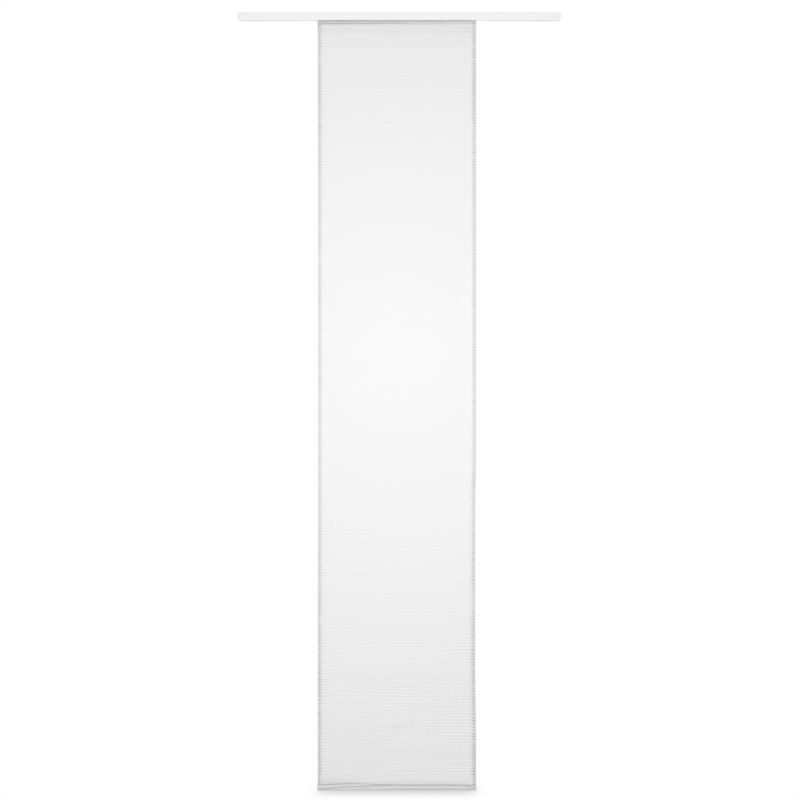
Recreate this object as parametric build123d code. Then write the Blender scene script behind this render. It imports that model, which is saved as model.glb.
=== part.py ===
from build123d import *
import os

# Sliding panel curtain on a ceiling track, in millimetres.
# The origin lies on the ceiling, over the middle of the track. +Z is up, -Y is the room side
# that the cloth faces, and the panel slides along X.

# Driving sizes
panel_width = 600.0
panel_drop = 2908.0
track_length = 1200.0
panel_rest_shift = -9.0

# Track: a rectangular extrusion with a clip groove on top, a hollow chamber and a roller channel below
track_depth = 18.0
track_height = 30.5
track_wall = 1.5
track_edge_radius = 0.8
track_ceiling_gap = 0.3
groove_lip_thickness = 1.4
groove_lip_reach = 2.5
groove_height = 4.6
web_thickness = 1.4
channel_height = 11.0
channel_lip_thickness = 1.6
slot_width = 6.0

# Ceiling clips: bent spring steel, screwed to the ceiling and hooked under the groove's lips
clip_end_inset = 150.0
clip_plate_length = 40.0
clip_hook_length = 22.0
clip_sheet = 1.2
clip_hook_reach = 1.4
clip_side_clearance = 0.3
clip_hole_radius = 2.25
clip_plate_corner_radius = 2.0

# Track end caps: moulded, rounded at the outer corners, with a plug in the chamber
cap_length = 13.0
cap_corner_radius = 11.0
cap_edge_radius = 1.2
cap_plug_length = 18.0
cap_plug_clearance = 0.15
cap_plug_chamfer = 1.5

# End stops: a block on the channel's lips, clamped by a grub screw against the channel's roof
stop_length = 12.0
stop_inset = 2.0
stop_clearance = 0.25
stop_block_height = 8.0
grub_radius = 1.5
grub_socket_across_flats = 1.5
grub_socket_depth = 2.0

# Roller trucks
truck_count = 4
truck_inset = 30.0
truck_thickness = 4.8
truck_head_length = 12.0
truck_head_height = 7.0
truck_head_radius = 2.4
truck_stem_length = 8.0
truck_shoulder_gap = 0.3
truck_boss_radius = 2.2
wheel_radius = 4.5
wheel_width = 3.6
wheel_edge_chamfer = 0.4
wheel_running_gap = 0.1
wheel_side_gap = 0.2
wheel_hub_radius = 1.9
wheel_rim_thickness = 1.0
wheel_dish_depth = 0.7
axle_radius = 1.0
axle_chamfer = 0.2
axle_running_clearance = 0.03

# Carrier: an extrusion that the trucks slide into, with a flat front for the hook tape
carrier_gap = 4.0
carrier_depth = 8.0
carrier_height = 26.0
carrier_wall = 1.4
carrier_lip = 1.2
carrier_floor = 1.2
carrier_mouth = 3.6
carrier_slot_height = 3.0
carrier_flange = 1.6
carrier_foot_clearance = 0.15
carrier_neck_clearance = 0.2
carrier_end_inset = 2.0
carrier_cap_thickness = 2.0
carrier_cap_plug_length = 8.0

# Hook-and-loop tapes
tape_height = 20.0
tape_drop = 1.5
tape_end_inset = 6.0
hook_tape_thickness = 1.2
loop_tape_thickness = 1.4

# Cloth: crosswise ribbed, hemmed on all four sides
cloth_thickness = 0.8
rib_pitch = 11.0
rib_relief = 0.6
top_hem_height = 22.0
top_seam_drop = 9.5
top_seam_depth = 0.35
top_seam_width = 2.0
left_hem_width = 11.0
right_hem_width = 14.5

# Weight bar in the bottom hem
bar_height = 12.0
bar_thickness = 4.0
bar_end_inset = 5.0
bar_cap_wall = 0.7
bar_cap_length = 12.0
bar_cap_end = 2.0
hem_clearance = 0.3

# Planes and places that follow from the sizes
same_place = 0.001
cut_overrun = 1.0
track_top = -track_ceiling_gap
track_bottom = track_top - track_height
inner_width = track_depth - 2 * track_wall
groove_mouth = inner_width - 2 * groove_lip_reach
groove_roof = track_top - groove_lip_thickness
groove_floor = groove_roof - groove_height
channel_floor = track_bottom + channel_lip_thickness
channel_roof = channel_floor + channel_height
chamber_top = groove_floor - web_thickness
chamber_bottom = channel_roof + web_thickness
clip_place = track_length / 2 - clip_end_inset
axle_height = channel_floor + wheel_running_gap + wheel_radius
wheel_offset = (slot_width / 2 + inner_width / 2) / 2
carrier_top = track_bottom - carrier_gap
carrier_length = panel_width - 2 * (carrier_end_inset + carrier_cap_thickness)
carrier_slot_width = carrier_depth - 2 * carrier_wall
carrier_front = -carrier_depth / 2
cloth_back = carrier_front - hook_tape_thickness - loop_tape_thickness
sheet_middle = cloth_back - cloth_thickness - cloth_thickness / 2
panel_top = carrier_top
panel_bottom = panel_top - panel_drop
panel_left = panel_rest_shift - panel_width / 2
panel_right = panel_rest_shift + panel_width / 2
bar_cap_height = bar_height + 2 * bar_cap_wall
bar_cap_thickness = bar_thickness + 2 * bar_cap_wall
tunnel_height = bar_cap_height + 2 * hem_clearance
tunnel_thickness = bar_cap_thickness + 2 * hem_clearance
bottom_hem_height = tunnel_height + 2 * cloth_thickness
bottom_hem_thickness = tunnel_thickness + 2 * cloth_thickness
bottom_hem_middle = panel_bottom + bottom_hem_height / 2


def area(y_low, y_high, z_low, z_high):
    """A rectangle of the section that is seen along the track, between two depths and two heights."""
    middle = Pos((y_low + y_high) / 2, (z_low + z_high) / 2)
    return middle * Rectangle(y_high - y_low, z_high - z_low)


def along_track(section, x_start, length):
    """A section carried along X."""
    return extrude(Plane.YZ.offset(x_start) * section, amount=length)


def both_sides(shape):
    """A shape and its mirror image about the section's middle line."""
    return shape + mirror(shape, about=Plane.YZ)


def track_profile():
    half = inner_width / 2
    section = area(-track_depth / 2, track_depth / 2, track_bottom, track_top)
    section = fillet(section.vertices(), track_edge_radius)
    section -= area(-half, half, groove_floor, groove_roof)
    section -= area(-groove_mouth / 2, groove_mouth / 2, groove_floor, track_top + cut_overrun)
    section -= area(-half, half, chamber_bottom, chamber_top)
    section -= area(-half, half, channel_floor, channel_roof)
    section -= area(-slot_width / 2, slot_width / 2, track_bottom - cut_overrun, channel_roof)
    return along_track(section, -track_length / 2, track_length)


def ceiling_clip(x_place):
    half = groove_mouth / 2 - clip_side_clearance
    hook_bottom = groove_roof - clip_sheet
    plate = Pos(x_place, 0) * RectangleRounded(clip_plate_length, 2 * half, clip_plate_corner_radius)
    plate -= Pos(x_place, 0) * Circle(clip_hole_radius)
    leg = area(half - clip_sheet, half, hook_bottom, -clip_sheet)
    hook = area(half, half + clip_hook_reach, hook_bottom, groove_roof)
    hooks = along_track(both_sides(leg + hook), x_place - clip_hook_length / 2, clip_hook_length)
    return extrude(plate, amount=-clip_sheet) + hooks


def end_cap():
    """The right-hand cap. The left one is its mirror image."""
    inner = track_length / 2
    outer = inner + cap_length
    outline = Pos((inner + outer) / 2, (track_top + track_bottom) / 2) * Rectangle(cap_length, track_height)
    outline = fillet(outline.vertices().group_by(Axis.X)[-1], cap_corner_radius)
    cap = extrude(Plane.XZ * outline, amount=track_depth / 2, both=True)
    sides = cap.faces().sort_by(Axis.Y)
    rims = sides[0].edges() + sides[-1].edges()
    cap = fillet([e for e in rims if e.center().X > inner + same_place], cap_edge_radius)
    half = inner_width / 2 - cap_plug_clearance
    plug_section = area(-half, half, chamber_bottom + cap_plug_clearance, chamber_top - cap_plug_clearance)
    plug = along_track(plug_section, inner - cap_plug_length, cap_plug_length)
    plug = chamfer(plug.faces().sort_by(Axis.X)[0].edges(), cap_plug_chamfer)
    return cap + plug


def stop_middle(side):
    return side * (track_length / 2 - stop_inset - stop_length / 2)


def end_stop(side):
    half = inner_width / 2 - stop_clearance
    key = slot_width / 2 - stop_clearance
    section = area(-half, half, channel_floor, channel_floor + stop_block_height)
    section += area(-key, key, track_bottom, channel_floor)
    block = along_track(section, stop_middle(side) - stop_length / 2, stop_length)
    return block - grub_shank(side)


def grub_shank(side):
    """The space that a grub screw takes up, from the track's underside to the channel's roof."""
    length = channel_roof - track_bottom
    return Pos(stop_middle(side), 0, track_bottom + length / 2) * Cylinder(grub_radius, length)


def grub_screw(side):
    socket_radius = grub_socket_across_flats / 2
    socket = Pos(stop_middle(side), 0, track_bottom) * RegularPolygon(socket_radius, 6, major_radius=False)
    return grub_shank(side) - extrude(socket, amount=grub_socket_depth)


def truck_places():
    reach = panel_width / 2 - truck_inset
    step = 2 * reach / (truck_count - 1)
    return [panel_rest_shift - reach + step * i for i in range(truck_count)]


def across(shape):
    """A shape made about Z, laid along Y."""
    return Rot(90, 0, 0) * shape


def truck(x_place):
    boss_half = wheel_offset - wheel_width / 2 - wheel_side_gap
    shoulder = carrier_top + truck_shoulder_gap
    foot_top = carrier_top - carrier_lip
    foot_bottom = foot_top - carrier_slot_height + 2 * carrier_foot_clearance
    head = Pos(0, axle_height) * RectangleRounded(truck_head_length, truck_head_height, truck_head_radius)
    stem = Pos(0, (axle_height + shoulder) / 2) * Rectangle(truck_stem_length, axle_height - shoulder)
    body = extrude(Plane.XZ * (head + stem), amount=truck_thickness / 2, both=True)
    body += Pos(0, 0, axle_height) * across(Cylinder(truck_boss_radius, 2 * boss_half))
    neck = carrier_mouth / 2 - carrier_neck_clearance
    foot = carrier_slot_width / 2 - carrier_foot_clearance
    hanger = area(-neck, neck, foot_top, shoulder) + area(-foot, foot, foot_bottom, foot_top)
    body += along_track(hanger, -truck_stem_length / 2, truck_stem_length)
    bore = across(Cylinder(axle_radius + axle_running_clearance, 2 * (boss_half + cut_overrun)))
    return Pos(x_place, 0, 0) * (body - Pos(0, 0, axle_height) * bore)


def wheel(x_place, side):
    """A wheel turned about its axle, dished on the face that looks away from the truck."""
    half = wheel_width / 2
    rim_inner = wheel_radius - wheel_rim_thickness
    section = Pos((axle_radius + wheel_radius) / 2, 0) * Rectangle(wheel_radius - axle_radius, wheel_width)
    section = chamfer(section.vertices().group_by(Axis.X)[-1], wheel_edge_chamfer)
    dish = Pos((wheel_hub_radius + rim_inner) / 2, half - wheel_dish_depth / 2)
    section -= dish * Rectangle(rim_inner - wheel_hub_radius, wheel_dish_depth)
    turned = revolve(Plane.XZ * section, Axis.Z)
    return Pos(x_place, side * wheel_offset, axle_height) * Rot(-90 * side, 0, 0) * turned


def axle(x_place):
    rod = Cylinder(axle_radius, 2 * wheel_offset + wheel_width)
    rod = chamfer(rod.edges().filter_by(GeomType.CIRCLE), axle_chamfer)
    return Pos(x_place, 0, axle_height) * across(rod)


def carrier_outline():
    """The carrier's section with its truck slot filled in, which is also its end caps' outline."""
    box_bottom = carrier_top - carrier_lip - carrier_slot_height - carrier_floor
    box = area(carrier_front, -carrier_front, box_bottom, carrier_top)
    flange = area(carrier_front, carrier_front + carrier_flange, carrier_top - carrier_height, carrier_top)
    return box + flange


def carrier_profile():
    half = carrier_slot_width / 2
    slot_top = carrier_top - carrier_lip
    section = carrier_outline()
    section -= area(-half, half, slot_top - carrier_slot_height, slot_top)
    section -= area(-carrier_mouth / 2, carrier_mouth / 2, slot_top, carrier_top + cut_overrun)
    return along_track(section, panel_rest_shift - carrier_length / 2, carrier_length)


def carrier_cap():
    """The right-hand cap, for a carrier whose middle is at zero. The left one is its mirror image."""
    inner = carrier_length / 2
    half = carrier_slot_width / 2 - carrier_foot_clearance
    slot_top = carrier_top - carrier_lip
    plug_bottom = slot_top - carrier_slot_height + carrier_foot_clearance
    plug = area(-half, half, plug_bottom, slot_top - carrier_foot_clearance)
    cap = along_track(carrier_outline(), inner, carrier_cap_thickness)
    return cap + along_track(plug, inner - carrier_cap_plug_length, carrier_cap_plug_length)


def tape(back, thickness):
    """A strip of tape whose back lies at a given depth."""
    top = carrier_top - tape_drop
    section = area(back - thickness, back, top - tape_height, top)
    return along_track(section, panel_left + tape_end_inset, panel_width - 2 * tape_end_inset)


def rib_line(offset):
    """Points down the ribbed stretch of the cloth: a zigzag, one crest and one valley to each rib."""
    top = panel_top - top_hem_height
    bottom = panel_bottom + bottom_hem_height - cloth_thickness
    count = round((top - bottom) / rib_pitch)
    half_pitch = (top - bottom) / (2 * count)
    crests = [rib_relief / 2 * (-1) ** (i + 1) for i in range(1, 2 * count)]
    waves = [0.0, *crests, 0.0]
    return [(sheet_middle + offset + wave, top - i * half_pitch) for i, wave in enumerate(waves)]


def top_seam_line():
    """Points down the front of the top hem, with the shallow groove that its seam pulls in."""
    front = sheet_middle - cloth_thickness / 2
    seam = panel_top - top_seam_drop
    return [
        (front, panel_top),
        (front, seam + top_seam_width / 2),
        (front + top_seam_depth, seam),
        (front, seam - top_seam_width / 2),
    ]


def closed_face(points):
    return make_face(Polyline(*points, close=True))


def in_bottom_hem(section):
    """A section made about zero, stood upright in the middle of the bottom hem."""
    return Pos(sheet_middle, bottom_hem_middle) * Rot(0, 0, 90) * section


def curtain_panel():
    """One ribbed sheet: hems folded to the back at the top and sides, and a tunnel at the bottom."""
    front = top_seam_line() + rib_line(-cloth_thickness / 2)
    back = rib_line(cloth_thickness / 2)
    hem_fold = [(cloth_back, panel_top - top_hem_height), (cloth_back, panel_top)]
    sheet = closed_face(front + back[::-1] + hem_fold)
    sheet += in_bottom_hem(SlotOverall(bottom_hem_height, bottom_hem_thickness))
    sheet -= in_bottom_hem(SlotOverall(tunnel_height, tunnel_thickness))
    hem = closed_face(front + [(cloth_back, front[-1][1]), (cloth_back, panel_top)])
    panel = along_track(sheet, panel_left, panel_width)
    panel += along_track(hem, panel_left, left_hem_width)
    panel += along_track(hem, panel_right - right_hem_width, right_hem_width)
    return panel


def weight_bar():
    section = in_bottom_hem(SlotOverall(bar_height, bar_thickness))
    inset = bar_end_inset + bar_cap_end
    return along_track(section, panel_left + inset, panel_width - 2 * inset)


def bar_cap():
    """The right-hand push-on cap, for a bar whose middle is at zero. The left one is its mirror image."""
    end = panel_width / 2 - bar_end_inset
    outer = in_bottom_hem(SlotOverall(bar_cap_height, bar_cap_thickness))
    inner = in_bottom_hem(SlotOverall(bar_height, bar_thickness))
    sleeve = along_track(outer, end - bar_cap_length, bar_cap_length)
    return sleeve - along_track(inner, end - bar_cap_length, bar_cap_length - bar_cap_end)


def pair(name, right, middle=0.0):
    """A right-hand piece and its mirror image, as two named pieces either side of a middle."""
    shift = Pos(middle, 0, 0)
    return {f"{name}_left": shift * mirror(right, about=Plane.YZ), f"{name}_right": shift * right}


def rollers():
    """The trucks, each with its axle and its two wheels."""
    pieces = {}
    for number, x_place in enumerate(truck_places(), 1):
        pieces[f"truck_{number}"] = truck(x_place)
        pieces[f"axle_{number}"] = axle(x_place)
        pieces[f"wheel_{number}_front"] = wheel(x_place, -1)
        pieces[f"wheel_{number}_rear"] = wheel(x_place, 1)
    return pieces


pieces = {
    "track_profile": track_profile(),
    **pair("end_cap", end_cap()),
    "ceiling_clip_left": ceiling_clip(-clip_place),
    "ceiling_clip_right": ceiling_clip(clip_place),
    "end_stop_left": end_stop(-1),
    "end_stop_right": end_stop(1),
    "end_stop_screws": Compound(children=[grub_screw(-1), grub_screw(1)]),
    **rollers(),
    "carrier_profile": carrier_profile(),
    **pair("carrier_cap", carrier_cap(), panel_rest_shift),
    "hook_tape": tape(carrier_front, hook_tape_thickness),
    "loop_tape": tape(carrier_front - hook_tape_thickness, loop_tape_thickness),
    "curtain_panel": curtain_panel(),
    "weight_bar": weight_bar(),
    **pair("weight_bar_cap", bar_cap(), panel_rest_shift),
}

os.makedirs("parts", exist_ok=True)
for name, piece in pieces.items():
    export_step(piece, f"parts/{name}.step")
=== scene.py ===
"""Sliding panel curtain: ribbed cloth, hems and stitching, finishes for the track, and a white studio."""

import bpy
import numpy as np
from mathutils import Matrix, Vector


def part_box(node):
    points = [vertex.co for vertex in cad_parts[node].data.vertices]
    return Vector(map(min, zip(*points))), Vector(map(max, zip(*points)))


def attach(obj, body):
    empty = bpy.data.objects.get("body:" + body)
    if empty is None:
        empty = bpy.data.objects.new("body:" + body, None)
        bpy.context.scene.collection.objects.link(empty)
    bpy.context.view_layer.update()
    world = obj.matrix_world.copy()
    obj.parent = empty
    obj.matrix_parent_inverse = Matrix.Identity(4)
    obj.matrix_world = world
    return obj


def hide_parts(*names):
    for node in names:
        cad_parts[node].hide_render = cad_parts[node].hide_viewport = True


bl_info = {
    "name": "Sliding panel curtain",
    "version": (1, 0, 0),
    "blender": (4, 5, 0),
    "location": "View3D > Sidebar > Curtain",
    "description": "Dresses a sliding panel curtain: crinkled cloth, coated track, rollers and a studio",
    "category": "Object",
}

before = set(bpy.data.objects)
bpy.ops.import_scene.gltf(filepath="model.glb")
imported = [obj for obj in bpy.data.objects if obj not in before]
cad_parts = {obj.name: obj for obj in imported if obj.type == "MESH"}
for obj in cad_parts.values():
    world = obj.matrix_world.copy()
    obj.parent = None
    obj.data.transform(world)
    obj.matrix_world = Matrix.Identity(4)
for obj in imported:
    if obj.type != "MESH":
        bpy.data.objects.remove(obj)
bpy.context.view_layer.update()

MM = 0.001
TURN = 2 * np.pi

# Painted shade of a pinch in a side hem, of the fold in the bottom hem and of its lower edge, where a seam
# has 1.
LADDER_SHADE = 0.62
FOLD_SHADE = 0.9
UNDER_SHADE = 0.45

# Mean of a pinch's shape, exp(1.5 (cos a - 1)), over a whole turn of a.
MEAN_PINCH = 0.367

# Ribs that stand out by themselves: drop of the crest and pitch in metres, start and end as shares across.
LONE_RIBS = (
    (33 * MM, 11.4 * MM, 0.84, 1.1),
    (156 * MM, 7.6 * MM, 0.67, 1.1),
    (215 * MM, 13.2 * MM, 0.36, 0.85),
)

# How far a lone rib stands out, where a strong rib has 1, and its painted shade and highlight, where a seam
# has 1.
LONE_RIB_RISE = 0.6
LONE_RIB_SHADE = 0.11

# Height of the strip above the bottom seam that the weight bar pulls smooth.
STRIP = 40 * MM

# Points of the cloth: rows down the sheet, rows in its lowest part, and columns between its edges, then
# points round a side hem, across a top or bottom hem, down the top hem's front and back and round the
# bar's tunnel, and along a line of stitches down or across.
SHEET_ROWS, LOW_ROWS, SHEET_COLUMNS = 1940, 81, 12
SIDE_HEM_POINTS, CROSS_POINTS, FRONT_POINTS, BACK_POINTS, TUNNEL_POINTS = 20, 241, 13, 12, 88
SEAM_POINTS_DOWN, SEAM_POINTS_ACROSS = 2400, 400

# Points of one stitch: rings along it, and sides round it.
STITCH_RINGS = 5
STITCH_SIDES = 6

# The panel's place, read from the frame, in metres.
PANEL_LOW, PANEL_HIGH = (np.array(corner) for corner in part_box("curtain_panel"))
PANEL_LEFT, PANEL_TOP = PANEL_LOW[0], PANEL_HIGH[2]
PANEL_WIDTH, PANEL_DROP = PANEL_HIGH[0] - PANEL_LOW[0], PANEL_HIGH[2] - PANEL_LOW[2]
TAPE_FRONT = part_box("loop_tape")[0][1]
TRACK_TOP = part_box("track_profile")[1][2]


def linear(code):
    """An sRGB hex colour as linear red, green and blue, with full alpha."""
    parts = [int(code[i:i + 2], 16) / 255 for i in (1, 3, 5)]
    return [c / 12.92 if c <= 0.04045 else ((c + 0.055) / 1.055) ** 2.4 for c in parts] + [1.0]


def length(name, description, default):
    """A length that a user may change, in metres."""
    return bpy.props.FloatProperty(name=name, description=description, default=default, subtype="DISTANCE",
                                   unit="LENGTH", precision=4)


def colour(name, description, code):
    """A colour that a user may change, given as sRGB hex."""
    return bpy.props.FloatVectorProperty(name=name, description=description, default=linear(code),
                                         subtype="COLOR", size=4, min=0.0, max=1.0)


class ClothSettings(bpy.types.PropertyGroup):
    thickness: length("Thickness", "One layer of the cloth", 0.8 * MM)
    rib_pitch: length("Rib pitch", "Distance from one crosswise rib to the next", 10.7 * MM)
    rib_height: length("Rib height", "Height of a strong rib from valley to crest", 2.0 * MM)
    pucker: length("Hem pucker", "Depth of the pinches between the ribs in the side hems", 4.0 * MM)
    flare: length("Flare", "How far the cloth stands out above the bottom seam", 3.0 * MM)
    lip: length("Lip", "How far the cloth stands out below the top seam", 2.2 * MM)
    fold: length("Fold", "How far the bottom hem stands out over its fold", 1.6 * MM)
    left_hem: length("Left hem", "Width of the left side hem", 12.5 * MM)
    right_hem: length("Right hem", "Width of the right side hem", 14.5 * MM)
    top_hem: length("Top hem", "Depth of the top hem, which holds the loop tape", 22 * MM)
    top_seam: length("Top seam", "Drop of the upper seam below the top edge", 9.5 * MM)
    bottom_hem: length("Bottom hem", "Height of the tunnel that holds the weight bar", 15.6 * MM)
    bottom_depth: length("Bottom hem depth", "Thickness of the tunnel from front to back", 7.6 * MM)
    stitch_pitch: length("Stitch pitch", "Distance from one stitch to the next", 5 * MM)
    thread: length("Thread", "Diameter of the sewing thread", 0.5 * MM)
    body_colour: colour("Cloth", "Single layer of cloth", "#EDEDED")
    # The hems' colour is the cloth's, darkened as painted shade, since folded layers let less light through.
    hem_colour: colour("Hem", "Folded layers, which let less light through", "#DFDFDF")
    thread_colour: colour("Thread", "Sewing thread", "#EAEAEA")


class TrackSettings(bpy.types.PropertyGroup):
    coating: colour("Coating", "Powder coat of the track and the carrier", "#F5F5F5")
    moulding: colour("Moulding", "End caps, stops and trucks", "#F3F3F1")
    acetal: colour("Acetal", "Wheels", "#E6E4DC")
    zinc: colour("Zinc", "Plated clips and screws", "#B4B6BA")
    steel: colour("Steel", "Ground axles", "#BFC1C4")
    bar: colour("Bar", "Mill-finish weight bar", "#C6C8CB")
    tape: colour("Tape", "Hook and loop tapes", "#EFEFED")


class StageSettings(bpy.types.PropertyGroup):
    camera_distance: length("Camera distance", "From the cloth to the camera", 4.2)
    key_distance: length("Key distance", "From the cloth to the softboxes before and behind it", 2.2)
    key_size: length("Key size", "Width and height of a softbox", 1.0)
    key_drop: length("Key drop", "From the ceiling down to the middle of a softbox", 1.29)
    key_power: bpy.props.FloatProperty(name="Key power", description="Power of the front softbox",
                                       default=18.4, subtype="POWER", unit="POWER")
    back_power: bpy.props.FloatProperty(name="Back power", description="Power of the softbox behind",
                                        default=15.2, subtype="POWER", unit="POWER")
    ambient: bpy.props.FloatProperty(name="Ambient", description="Strength of the even light all round",
                                     default=0.767, min=0.0)
    floor_half: length("Floor half", "From the middle of the floor to its edge", 12.0)
    floor_gap: length("Floor gap", "From the bottom hem down to the floor", 2 * MM)
    shadow_reach: length("Shadow reach", "How far the contact shadow spreads on the floor", 0.12)


# Meshes


def grid_faces(rows, columns, close_rows):
    """Quads of a grid of points, closed round its columns and, if asked, round its rows."""
    row, column = np.meshgrid(np.arange(rows if close_rows else rows - 1), np.arange(columns), indexing="ij")
    next_row, next_column = (row + 1) % rows, (column + 1) % columns
    corners = (row * columns + column, next_row * columns + column,
               next_row * columns + next_column, row * columns + next_column)
    return np.stack(corners, axis=-1).reshape(-1, 4).tolist()


def shell(name, points, pinch_and_painted_shade, material, close_rows=False):
    """A closed surface from an array of points, rows by columns by xyz, in metres.

    Each row is a closed loop. The first and last loops are capped, or joined to each other. A painted
    shade of about 0 to 1 at each point is kept as an attribute, which darkens the cloth there.
    """
    rows, columns = points.shape[:2]
    faces = grid_faces(rows, columns, close_rows)
    if not close_rows:
        faces.append(list(range(columns)))
        faces.append(list(range(rows * columns - 1, (rows - 1) * columns - 1, -1)))
    made = mesh_object(name, points.reshape(-1, 3), faces, material)
    made.data.attributes.new("pinch_and_painted_shade", "FLOAT", "POINT").data.foreach_set("value", pinch_and_painted_shade.ravel())
    return made


def mesh_object(name, points, faces, material):
    """An object at the origin whose place is in its mesh, smooth, with its faces turned outwards."""
    mesh = bpy.data.meshes.new(name)
    mesh.from_pydata(points.tolist(), [], faces)
    mesh.validate()
    mesh.shade_smooth()
    if signed_volume(mesh) < 0:
        mesh.flip_normals()
    mesh.materials.append(material)
    made = bpy.data.objects.new(name, mesh)
    bpy.context.scene.collection.objects.link(made)
    return made


def signed_volume(mesh):
    """Six times the volume inside a closed mesh, which is negative if its faces point inwards."""
    mesh.calc_loop_triangles()
    corners = np.empty(len(mesh.loop_triangles) * 3, dtype=np.int32)
    mesh.loop_triangles.foreach_get("vertices", corners)
    places = np.empty(len(mesh.vertices) * 3)
    mesh.vertices.foreach_get("co", places)
    a, b, c = np.moveaxis(places.reshape(-1, 3)[corners.reshape(-1, 3)], 1, 0)
    return float((a * np.cross(b, c)).sum())


# Cloth surface, as functions of x across from the panel's left edge and z down from its top, in metres


def smooth_field(x, z, reach_x, reach_z, seed, waves=24):
    """A smooth random height with a spread of 1: plane waves added up.

    Each wave is cos(kx x + kz z + p). Its kx and kz are drawn so that crests lie about reach_x apart
    across and reach_z apart down.
    """
    draw = np.random.default_rng(seed)
    kx = draw.normal(0.0, TURN / reach_x, waves)
    kz = draw.normal(0.0, TURN / reach_z, waves)
    start = draw.uniform(0.0, TURN, waves)
    x, z = np.broadcast_arrays(x, z)
    return np.cos(x[..., None] * kx + z[..., None] * kz + start).sum(axis=-1) * np.sqrt(2 / waves)


def ease(value, low, high):
    """A smooth step from 0 at low to 1 at high: 3 t squared less 2 t cubed."""
    t = np.clip((value - low) / (high - low), 0.0, 1.0)
    return t * t * (3 - 2 * t)


def rib_turns(x, z, pitch):
    """Ribs counted down the cloth: z over the pitch, plus a slow wander that makes them wavy."""
    return z / pitch + 0.30 * smooth_field(x, z, 1.2, 0.25, seed=3)


def ribs(x, z, cloth):
    """Ribs of uneven strength: tanh(s1 cos(turn n1) + s2 cos(turn n2)), deepest low down and to the right.

    The strengths s1 and s2 come and go along a rib. Above the lowest part most ribs are faint, and a few
    stand out. A second, closer set of ribs n2 crosses the first, and tanh levels off what they add up to.
    """
    field = smooth_field(x, z, 0.90, 0.034, seed=5)
    even, sparse = 0.55 + 0.45 * field, 0.2 + 1.05 * np.maximum(field - 0.3, 0.0)
    strong = sparse + ease(z, 0.72 * PANEL_DROP, 0.86 * PANEL_DROP) * (even - sparse)
    cross = 0.30 * smooth_field(x, z, 0.60, 0.030, seed=7)
    both = (strong * np.cos(TURN * rib_turns(x, z, cloth.rib_pitch))
            + cross * np.cos(TURN * rib_turns(x, z, 0.85 * cloth.rib_pitch)))
    stations = np.array([0.0, 0.12, 0.28, 0.56, 0.62, 0.72, 0.84, 0.90, 1.0]) * PANEL_DROP
    depth = np.interp(z, stations, [1.2, 0.55, 0.22, 0.18, 0.6, 0.8, 1.35, 1.7, 1.8])
    return depth * (0.7 + 0.4 * x / PANEL_WIDTH) * np.tanh(both)


def hem_side(x, cloth):
    """Which side hem is nearer, true at the right, with its width and the distance in from its free edge."""
    right = x > PANEL_WIDTH / 2
    return right, np.where(right, cloth.right_hem, cloth.left_hem), np.where(right, PANEL_WIDTH - x, x)


def pinch_strength(right, inside, low):
    """Strength of the pinches at a distance in from the free edge: most along that edge.

    Beside the left hem they go on faintly. Beside the right hem they do so low down only, by a share low.
    """
    at_left = np.interp(inside, np.array([0.0, 2.5, 6.2, 10.2, 18.5, 23.5, 30.5]) * MM,
                        [0.95, 1.0, 1.3, 0.35, 0.48, 0.28, 0.0])
    at_high = np.interp(inside, np.array([0.0, 2.7, 7.2, 11.8, 14.5, 17.0, 20.5]) * MM,
                        [1.7, 1.6, 0.8, 0.8, 0.65, 0.05, 0.0])
    at_low = np.interp(inside, np.array([0.0, 2.7, 7.2, 11.8, 14.5, 17.0, 25.5, 32.5]) * MM,
                       [1.7, 1.6, 0.65, 0.75, 0.6, 0.2, 0.2, 0.0])
    return np.where(right, at_high + low * (at_low - at_high), at_left)


def hem_valleys(x, z, cloth):
    """Pinches of the side hems between the ribs, from about 0 to 1: a m + b (p - m).

    p = exp(1.5 (cos(turn n) - 1)) for each pinch, and m is its mean. The even share a is most at a hem's
    two edges, and fades out on the single layer within a rib's pitch, or sooner at the upper right. The
    strength b is pinch_strength. Down the panel both are less in its middle, where the cloth hangs smooth.
    """
    right, width, inside = hem_side(x, cloth)
    across = 2 * inside / width - 1
    low = np.interp(z, [0.45 * PANEL_DROP, 0.75 * PANEL_DROP], [0.0, 1.0])
    reach = 0.5 * cloth.rib_pitch * np.where(right, 0.35 + 0.65 * low, 1.0)
    least = np.where(right, 0.2, 0.6)
    even = np.where(across < 1, least + (1 - least) * across ** 2, np.exp((width - inside) / reach))
    edge = np.where(right, PANEL_WIDTH, 0.0)
    pinch_and_painted_shade = np.exp(1.5 * (np.cos(TURN * (rib_turns(edge, z, cloth.rib_pitch) + 0.5)) - 1))
    valleys = MEAN_PINCH * even + pinch_strength(right, inside, low) * (pinch_and_painted_shade - MEAN_PINCH)
    uneven = 0.9 + 0.2 * smooth_field(edge, z, 0.5, 0.06, seed=17)
    stations = np.array([0.0, 0.15, 0.32, 0.60, 0.78, 1.0]) * PANEL_DROP
    return valleys * uneven * np.interp(z, stations, [1.0, 0.9, 0.65, 0.65, 1.0, 1.0])


def lone_ribs(x, z):
    """Ribs that stand out by themselves towards the upper right, from -1 to 1: cos(turn b / pitch).

    The distance from a rib's crest is b, and it ends three quarters of a turn off.
    """
    share, total = x / PANEL_WIDTH, 0.0
    for crest, pitch, start, end in LONE_RIBS:
        turns = (z - crest) / pitch
        near = ease(share, start, start + 0.02) - ease(share, end - 0.02, end)
        total = total + near * np.where(np.abs(turns) < 0.75, np.cos(TURN * turns), 0.0)
    return total


def hangs_free(x, z, cloth):
    """How freely the cloth hangs, from 0 where the top hem holds it flat to 1: sooner at the right end."""
    corner = ease(x, 0.80 * PANEL_WIDTH, 0.90 * PANEL_WIDTH)
    return ease(z, (1 - 0.25 * corner) * cloth.top_hem, (2.2 - 0.9 * corner) * cloth.top_hem)


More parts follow.
